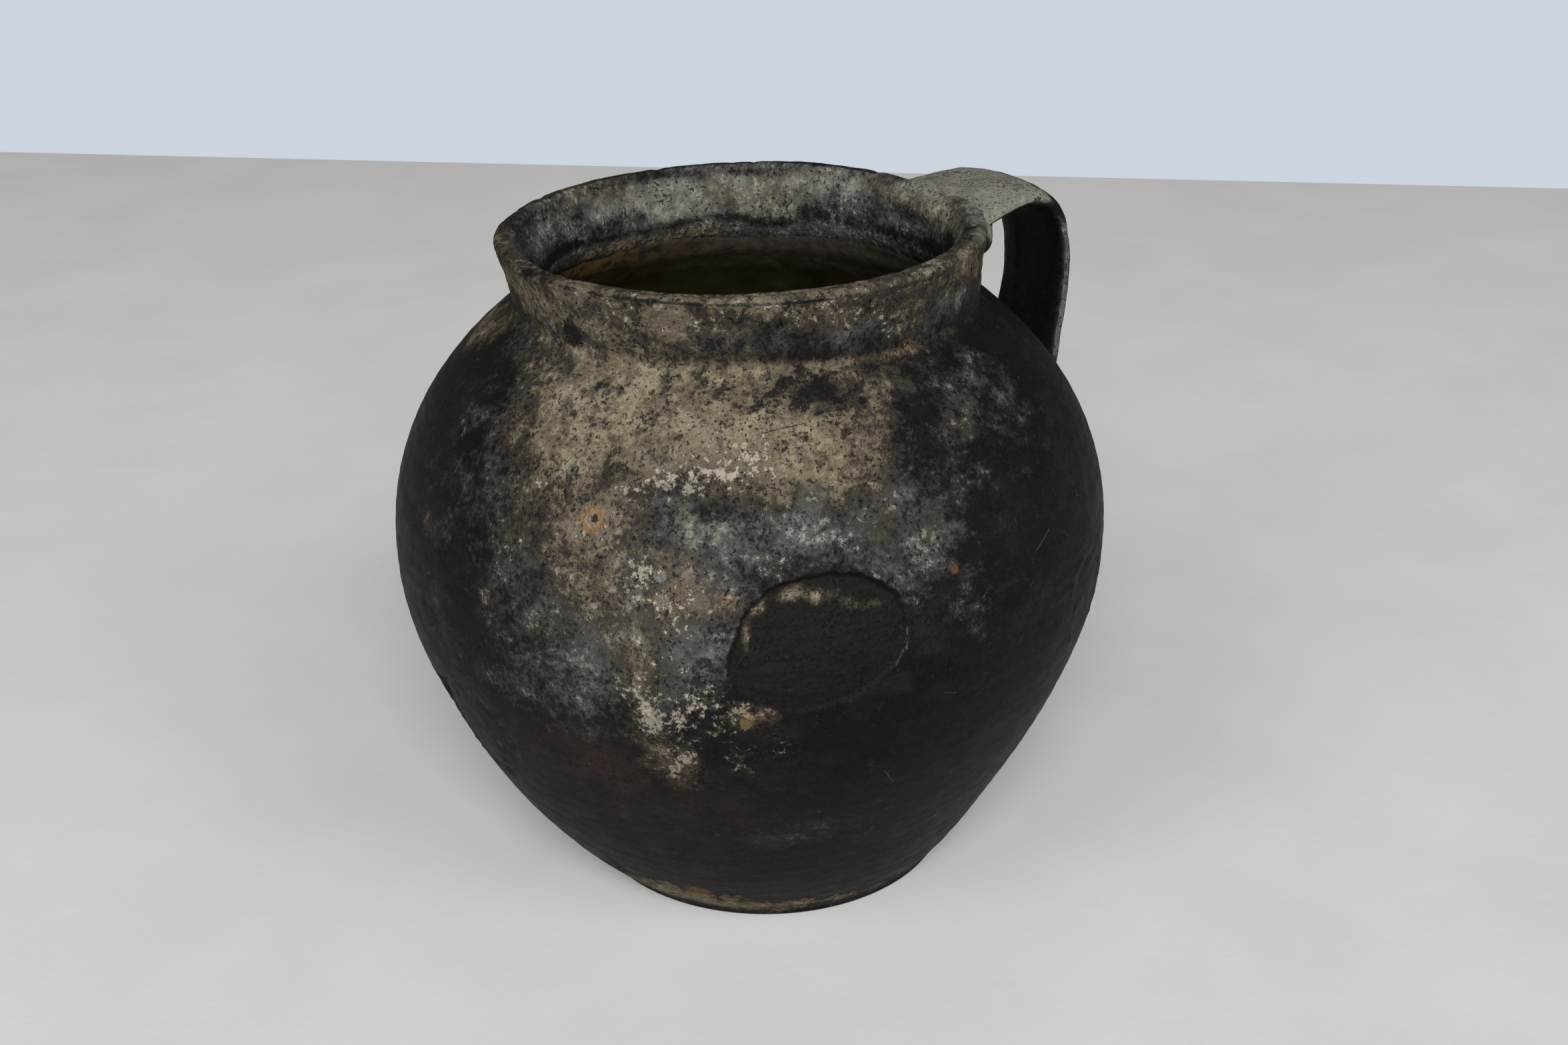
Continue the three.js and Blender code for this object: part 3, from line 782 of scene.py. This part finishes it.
class Finish:
    """A finish built up in layers on a shader, with sizes in millimetres."""

    def __init__(self, name, **uniform):
        self.material = bpy.data.materials.new(name)
        self.material.use_nodes = True
        self.tree = self.material.node_tree
        self.shader = self.tree.nodes["Principled BSDF"]
        for socket, value in uniform.items():
            self.shader.inputs[socket.replace("_", " ")].default_value = value
        self.place = self.node("ShaderNodeTexCoord").outputs["Object"]

    def node(self, kind, inputs=(), **settings):
        made = self.tree.nodes.new(kind)
        for key, value in settings.items():
            setattr(made, key, value)
        for key, value in dict(inputs).items():
            self.feed(made.inputs[key], value)
        return made

    def feed(self, socket, value):
        if isinstance(value, bpy.types.NodeSocket):
            self.tree.links.new(value, socket)
        else:
            socket.default_value = value

    def sum(self, operation, *values):
        return self.node("ShaderNodeMath", dict(enumerate(values)), operation=operation).outputs[0]

    def times(self, first, second):
        return self.sum("MULTIPLY", first, second)

    def times_plus(self, first, second, third):
        return self.sum("MULTIPLY_ADD", first, second, third)

    def scaled(self, vector, factor):
        return self.node("ShaderNodeVectorMath", {0: vector, 3: factor}, operation="SCALE").outputs[0]

    def vector(self, operation, first, second):
        return self.node("ShaderNodeVectorMath", {0: first, 1: second}, operation=operation)

    def grain(self, size, detail=3.0, rough=0.55, stretch=(1, 1, 1), seed=0.0, twist=0.0):
        """Cloudy grain of about that size in millimetres, spread over 0 to 1."""
        scale = tuple(s / (size * MM) for s in stretch)
        moved = {"Vector": self.place, "Location": (seed, seed * 1.3, seed * 0.7), "Scale": scale}
        mapped = self.node("ShaderNodeMapping", moved).outputs[0]
        cloudy = {"Vector": mapped, "Scale": 1.0, "Detail": detail, "Roughness": rough, "Distortion": twist}
        cloud = self.node("ShaderNodeTexNoise", cloudy).outputs["Fac"]
        return self.between(cloud, 0.32, 0.68, smooth=False)

    def between(self, value, low, high, smooth=True):
        kind = "SMOOTHSTEP" if smooth else "LINEAR"
        inputs = {"Value": value, "From Min": low, "From Max": high}
        return self.node("ShaderNodeMapRange", inputs, interpolation_type=kind, clamp=True).outputs[0]

    def blend(self, first, second, share):
        return self.times_plus(self.sum("SUBTRACT", second, first), share, first)

    def layer(self, name):
        return self.node("ShaderNodeAttribute", attribute_name=name).outputs["Fac"]

    def cover(self, share, grain, soft):
        """Where a layer lies: its share of the surface, broken up by the grain."""
        return self.between(self.times_plus(share, 1 + soft, grain), 1, 1 + 2 * soft)

    def mix(self, under, over, share):
        mixed = self.node("ShaderNodeMix", data_type="RGBA")
        self.feed(mixed.inputs["Factor"], share)
        self.feed(mixed.inputs[6], under)
        self.feed(mixed.inputs[7], over)
        return mixed.outputs[2]

    def toned(self, colour, grain, low, high):
        """The colour made darker and lighter by a grain."""
        return self.scaled(colour, self.times_plus(grain, high - low, low))

    def bump(self, height, depth):
        inputs = {"Height": height, "Distance": depth * MM, "Strength": 1.0}
        return self.node("ShaderNodeBump", inputs).outputs[0]

    def finish(self, colour, roughness, normal):
        self.feed(self.shader.inputs["Base Color"], colour)
        self.feed(self.shader.inputs["Roughness"], roughness)
        self.feed(self.shader.inputs["Normal"], normal)
        return self.material


# Single marks on the outer wall: azimuth, height, radius, colour, strength
MARKS = (
    (-143, 136.4, 3.6, (128, 98, 66), 0.7), (-143, 136.2, 2.1, (128, 120, 100), 0.7),
    (-142.6, 136.6, 1.1, (30, 26, 24), 0.9), (-131, 120.2, 1.9, (112, 110, 98), 0.8),
    (-131.6, 126, 1.6, (122, 120, 112), 0.7), (-138.3, 121.8, 1.0, (116, 115, 110), 0.7),
    (-125.6, 120.6, 2.2, (104, 98, 82), 0.6), (-109, 142, 3.6, (98, 96, 92), 0.35),
    (-109, 142, 2.2, (60, 59, 58), 0.35), (-131.8, 144.6, 0.9, (128, 124, 112), 0.8),
    (-88, 122, 1.2, (84, 62, 42), 0.8), (-134, 15, 3.4, (100, 70, 46), 0.6),
    (-161.5, 170.5, 3.6, (22, 21, 22), 0.85), (-127.6, 135.5, 1.0, (120, 116, 104), 0.7),
    (-119.6, 89, 1.7, (118, 100, 62), 0.6), (-141, 117.2, 0.7, (126, 124, 118), 0.7),
)

# Scratches: from azimuth and height to azimuth and height, half width, colour
SCRATCHES = (
    ((-117, 155), (-108, 156.6), 0.16, (24, 22, 22)), ((-72, 118), (-67, 122), 0.14, (70, 69, 66)),
    ((-90, 90), (-88, 89), 0.14, (80, 78, 72)), ((-98, 68), (-96, 63), 0.12, (64, 62, 58)),
    # The two pale lines below follow the front flake's right edge: crust in the crack, and a painted highlight
    # where the edge catches the light
    ((-96.7, 115), (-96.5, 109), 0.2, (74, 69, 58)), ((-96.9, 106), (-98.4, 101), 0.2, (66, 61, 50)),
    ((-101, 150), (-94, 140), 0.16, (28, 27, 27)), ((-76, 96), (-70, 108), 0.12, (50, 48, 47)),
    ((-121.3, 104), (-120.4, 111), 0.5, (98, 87, 61)), ((-120.3, 111.4), (-118.8, 118), 0.5, (104, 92, 64)),
)


def on_wall(azimuth, height):
    """The place on the outside of the turned wall, in metres."""
    line = outside_line()
    radius = np.interp(height, [p.z for p in line], [p.x for p in line]) - SKIN_SUNK
    return out_of_true(around_axis(azimuth, radius) + Vector((0, 0, height))) * MM


def marked(f, colour, grain):
    """Single spots and scratches over a colour, with edges roughened by a grain."""
    for azimuth, height, radius, tint, strength in MARKS:
        radius *= MM
        apart = f.vector("DISTANCE", f.place, on_wall(azimuth, height)).outputs["Value"]
        reach = f.times_plus(grain, radius, apart)
        lies = f.times(f.between(reach, 1.55 * radius, 1.3 * radius), strength)
        colour = f.mix(colour, shade(*tint), lies)
    for start, end, half_width, tint in SCRATCHES:
        first, last = on_wall(*start), on_wall(*end)
        half_width *= MM
        along = (last - first).normalized()
        from_first = f.vector("SUBTRACT", f.place, first).outputs[0]
        run = f.vector("DOT_PRODUCT", from_first, along).outputs["Value"]
        run = f.sum("MINIMUM", f.sum("MAXIMUM", run, 0.0), (last - first).length)
        apart = f.vector("DISTANCE", from_first, f.scaled(along, run)).outputs["Value"]
        reach = f.times_plus(grain, half_width, apart)
        lies = f.times(f.between(reach, 2 * half_width, half_width), 0.8)
        colour = f.mix(colour, shade(*tint), lies)
    return colour


# Colours of the clay and of what lies on it, some also standing in for painted light and shade, and then the
# finishes
BLACK_CLAY = shade(15, 15, 17)
BROWN_CLAY = shade(23, 20, 19)
MOTTLE = shade(35, 33, 32)
DOT = shade(82, 79, 72)
FLAKE_BED = shade(24, 22, 21)
RUST_BROWN = shade(52, 38, 31)
FILM_AND_LIGHT_DARK = shade(50, 51, 54)
FILM_AND_LIGHT_PALE = shade(106, 104, 99)
BLOOM_AND_LIGHT_DARK = shade(96, 94, 86)
BLOOM_AND_LIGHT_PALE = shade(136, 133, 122)
ASH_DIM = shade(52, 48, 42)
ASH_OLIVE = shade(76, 69, 56)
ASH_TAN = shade(108, 99, 82)
ASH_PALE = shade(134, 126, 107)
FLECK = shade(124, 122, 116)
CRUST_PALE = shade(148, 142, 127)
RUST_SPOT = shade(124, 88, 54)
PIT = shade(22, 21, 21)
SOOT_AND_SHADE_BLACK = shade(19, 19, 20)


def smoked_clay(name):
    """Soot-filled clay with a rubbed grey film, tan ash, pale bloom, crust, rust and soot; the grey and pale
    layers also hold painted sheen and light, the soot holds painted shade on the strap's inner face, and the
    wall is painted darker low down.
    """
    f = Finish(name, Specular_IOR_Level=0.05)
    broad = f.grain(34, 4, 0.5, seed=1)
    ragged = f.grain(12, 10, 0.74, seed=2, twist=0.5)
    clouds = f.grain(6.5, 8, 0.68, seed=3)
    dust = f.grain(1.7, 5, 0.75, seed=4)
    rubbed = f.grain(14, 8, 0.7, stretch=(1, 1, 1.5), seed=5)
    wiped = f.grain(2.2, 4, 0.6, stretch=(0.22, 0.22, 1.8), seed=6)
    swarm = f.grain(7, 3, 0.6, seed=9)
    pits = f.grain(1.0, 3, 0.6, seed=7)
    blots = f.grain(4.6, 8, 0.62, seed=8)
    speck = f.grain(0.5, 3, 0.6, seed=10)

    # Where each layer lies
    broken = f.blend(f.blend(f.blend(ragged, clouds, 0.4), dust, 0.26), speck, 0.06)
    powder = f.between(f.blend(clouds, dust, 0.55), 0.2, 0.8, smooth=False)

    rust = f.layer("rust")
    ash_share = f.layer("ash")
    crust_share = f.layer("crust")
    bed = f.layer("flaked")
    speckle = f.between(f.blend(blots, dust, 0.4), 0.2, 0.8, smooth=False)
    soot_and_shade = f.cover(f.layer("soot_and_shade"), speckle, 0.12)
    bare = f.sum("SUBTRACT", 1.0, soot_and_shade)
    level = f.times_plus(ash_share, 1.4, f.times_plus(broken, 1.5, -0.86))
    kept = f.between(f.times_plus(ash_share, 0.9, broken), 0.6, 0.72)
    kept = f.times(kept, f.times(bare, f.between(ash_share, 0.04, 0.22)))
    kept = f.times(kept, f.between(f.times_plus(swarm, 0.5, blots), 1.06, 1.01))
    thin = f.blend(f.times(bare, ash_share), 1.0, kept)
    dim_ash = f.times(f.between(level, 0.2, 0.5), thin)
    tan_ash = f.times(f.between(level, 0.48, 0.82), f.blend(0.1, 1.0, kept))
    pale_ash = f.between(level, 0.85, 1.3)
    film_and_light = f.cover(f.layer("film_and_light"), f.blend(rubbed, powder, 0.4), 0.5)
    film_and_light = f.times(film_and_light, f.blend(1.0, 0.3, soot_and_shade))
    crust = f.times(f.cover(crust_share, powder, 0.12), bare)
    flecks = f.cover(f.times(film_and_light, 0.3), powder, 0.1)

    # From the clay outwards
    colour = f.mix(BLACK_CLAY, BROWN_CLAY, broad)
    colour = f.mix(colour, MOTTLE, f.times(f.between(rubbed, 0.35, 0.95), 0.6))
    dots = f.between(f.blend(powder, speck, 0.3), 0.78, 0.95)
    colour = f.mix(colour, DOT, f.times(dots, 0.3))
    colour = f.mix(colour, FLAKE_BED, f.times(bed, 0.8))
    brown = f.times(rust, f.between(clouds, 0.1, 0.9))
    colour = f.mix(colour, RUST_BROWN, brown)
    # Grey film, partly painted sheen and painted light
    grey = f.mix(FILM_AND_LIGHT_DARK, FILM_AND_LIGHT_PALE, f.blend(clouds, dust, 0.3))
    grey = f.toned(grey, wiped, 0.86, 1.14)
    colour = f.mix(colour, grey, f.times(film_and_light, 0.9))
    # Pale grey: partly bloom, partly painted light, strongest on the strap's top and inside the neck
    bloom_and_light = f.cover(f.layer("bloom_and_light"), f.blend(clouds, powder, 0.3), 0.6)
    bloom_and_light_grey = f.mix(BLOOM_AND_LIGHT_DARK, BLOOM_AND_LIGHT_PALE, f.blend(clouds, dust, 0.5))
    colour = f.mix(colour, bloom_and_light_grey, bloom_and_light)
    colour = f.mix(colour, ASH_DIM, f.times(dim_ash, f.blend(0.8, 0.12, bloom_and_light)))
    tan = f.mix(ASH_OLIVE, ASH_TAN, f.blend(clouds, dust, 0.45))
    colour = f.mix(colour, tan, f.times(tan_ash, f.blend(0.85, 0.5, bloom_and_light)))
    colour = f.mix(colour, ASH_PALE, f.times(pale_ash, 0.7))
    colour = f.mix(colour, FLECK, f.times(flecks, 0.6))
    colour = f.mix(colour, CRUST_PALE, f.times(crust, 0.7))
    spots = f.times(f.cover(rust, powder, 0.15), f.sum("MAXIMUM", tan_ash, crust))
    colour = f.mix(colour, RUST_SPOT, f.times(spots, 0.5))
    pitted = f.between(f.times_plus(swarm, 0.35, pits), 0.95, 1.08)
    colour = f.mix(colour, PIT, f.times(pitted, 0.8))
    # Soot, and painted shade on the strap's inner face
    colour = f.mix(colour, SOOT_AND_SHADE_BLACK, f.times(soot_and_shade, 0.55))
    # Darker low on the wall, and painted shade on the strap's inner face
    colour = f.toned(colour, f.layer("darkening"), 1.0, 0.5)
    colour = marked(f, colour, f.blend(dust, speck, 0.4))
    colour = f.toned(f.toned(colour, dust, 0.8, 1.2), speck, 0.86, 1.14)

    rough_dark = f.blend(0.4, 0.58, clouds)
    roughness = f.blend(rough_dark, 0.85, f.sum("MAXIMUM", dim_ash, crust))
    height = f.times_plus(crust, 0.7, f.times(tan_ash, 0.4))
    height = f.times_plus(dust, 0.45, f.times_plus(speck, 0.12, height))
    height = f.times_plus(pitted, -0.8, height)
    return f.finish(colour, roughness, f.bump(height, 0.34))


# Glaze, in metres: heights over which the stain sets in, and where along X it turns to amber
STAIN_HEIGHTS = (0.153, 0.165)
AMBER_SIDE = (0.012, -0.038)


def olive_glaze(name):
    """Dark olive lead glaze, thin and stained at its upper edge, amber towards one side."""
    f = Finish(name, Specular_IOR_Level=0.5)
    cloud = f.grain(16, 3, 0.55, seed=11)
    runs = f.grain(5, 5, 0.65, stretch=(1, 1, 0.35), seed=12)
    place = f.node("ShaderNodeSeparateXYZ", {0: f.place}).outputs
    edge = f.between(f.times_plus(runs, 0.008, place["Z"]), *STAIN_HEIGHTS)
    amber = f.between(f.times_plus(runs, -0.02, place["X"]), *AMBER_SIDE)
    colour = f.mix(shade(30, 26, 17), shade(50, 45, 26), cloud)
    stain = f.mix(shade(44, 38, 32), shade(74, 67, 57), f.grain(3, 5, 0.7, seed=14))
    colour = f.mix(colour, stain, edge)
    warm = f.mix(shade(104, 82, 46), shade(48, 39, 28), f.between(runs, 0.35, 0.75))
    colour = f.mix(colour, warm, f.times(edge, amber))
    roughness = f.blend(0.08, 0.5, edge)
    return f.finish(colour, roughness, f.bump(f.grain(9, 2, 0.5, seed=13), 0.15))


pot = finished("thrown_pot", thrown_pot(), "pot_body", smoked_clay("smoked_clay"))
strap = finished("pulled_strap", pulled_strap(), "strap_handle", smoked_clay("smoked_strap_clay"))
finished("glaze_coat", glaze_coat(), "glaze_lining", olive_glaze("olive_glaze"))

joint_clay = smoked_clay("smoked_luting_clay")
upper_skin = smeared(UPPER_DABS, (pot, strap), UPPER_BOX)
upper = finished("upper_smear", upper_skin, "upper_luting", joint_clay)
lower_skin = smeared(LOWER_DABS, (pot, strap), LOWER_BOX)
lower = finished("lower_smear", lower_skin, "lower_luting", joint_clay)

for clay in (pot, strap, upper, lower):
    paint(clay)

# Floor, light and camera
CAMERA_PLACE = (-0.2332, -0.4295, 0.3185)
CAMERA_TURN = -28.5
CAMERA_YAW = 0.0196
CAMERA_PITCH = 0.4249
CAMERA_ROLL = 0.0073
CAMERA_LENS = 42.86
FLOOR_HALF = 2.4
FLOOR_EDGE = 0.817
FLOOR_EDGE_AZIMUTH = 53.1
FLOOR_TINTS = ((199, 198, 197), (204, 203, 202))
BACKGROUND_TINT = (204, 212, 223)
SKY_STRENGTH = 0.13
# Lamps: name, place, width across, power. All look at the middle of the pot.
LAMPS = (
    ("left_softbox", (-2.76, -0.99, 2.55), 1.65, 35),
    ("right_softbox", (0.72, -2.85, 2.55), 1.65, 35),
    ("front_window", (-2.0, -3.77, 2.97), 3.0, 310),
)
LAMP_AIM = (0, 0, 0.09)


def floor_cloth():
    skin = bmesh.new()
    bmesh.ops.create_grid(skin, x_segments=24, y_segments=24, size=FLOOR_HALF)
    away = around_axis(FLOOR_EDGE_AZIMUTH, 1)
    everything = skin.verts[:] + skin.edges[:] + skin.faces[:]
    bmesh.ops.bisect_plane(skin, geom=everything, plane_co=away * FLOOR_EDGE, plane_no=away, clear_outer=True)
    mesh = bpy.data.meshes.new("floor")
    skin.to_mesh(mesh)
    skin.free()
    f = Finish("pale_floor", Specular_IOR_Level=0.1)
    colour = f.mix(*(shade(*tint) for tint in FLOOR_TINTS), f.grain(60, seed=21))
    mesh.materials.append(f.finish(colour, 0.9, f.bump(f.grain(3, seed=22), 0.02)))
    placed("floor", mesh)


def soft_lamp(name, place, size, power):
    light = bpy.data.lights.new(name, "AREA")
    light.shape = "DISK"
    light.size = size
    light.energy = power
    lamp = placed(name, light)
    lamp.location = place
    lamp.rotation_euler = (Vector(place) - Vector(LAMP_AIM)).to_track_quat("Z", "Y").to_euler()


def studio():
    world = bpy.data.worlds.new("studio")
    world.use_nodes = True
    bpy.context.scene.world = world
    tree = world.node_tree
    tree.nodes.clear()
    path = tree.nodes.new("ShaderNodeLightPath")
    mix = tree.nodes.new("ShaderNodeMixShader")
    tree.links.new(path.outputs["Is Camera Ray"], mix.inputs[0])
    glows = (((1, 1, 1, 1), SKY_STRENGTH), (shade(*BACKGROUND_TINT), 1))
    for socket, (colour, strength) in zip(mix.inputs[1:], glows):
        glow = tree.nodes.new("ShaderNodeBackground")
        glow.inputs["Color"].default_value = colour
        glow.inputs["Strength"].default_value = strength
        tree.links.new(glow.outputs[0], socket)
    out = tree.nodes.new("ShaderNodeOutputWorld")
    tree.links.new(mix.outputs[0], out.inputs["Surface"])
    for lamp in LAMPS:
        soft_lamp(*lamp)


def camera():
    lens = bpy.data.cameras.new("camera")
    lens.lens = CAMERA_LENS
    lens.sensor_width = 36
    view = placed("camera", lens)
    view.matrix_world = (
        Matrix.Translation(CAMERA_PLACE)
        @ Matrix.Rotation(math.radians(CAMERA_TURN) - CAMERA_YAW, 4, "Z")
        @ Matrix.Rotation(math.pi / 2 - CAMERA_PITCH, 4, "X")
        @ Matrix.Rotation(-CAMERA_ROLL, 4, "Z")
    )
    bpy.context.scene.camera = view


floor_cloth()
studio()
camera()
bpy.context.scene.view_settings.view_transform = "Standard"
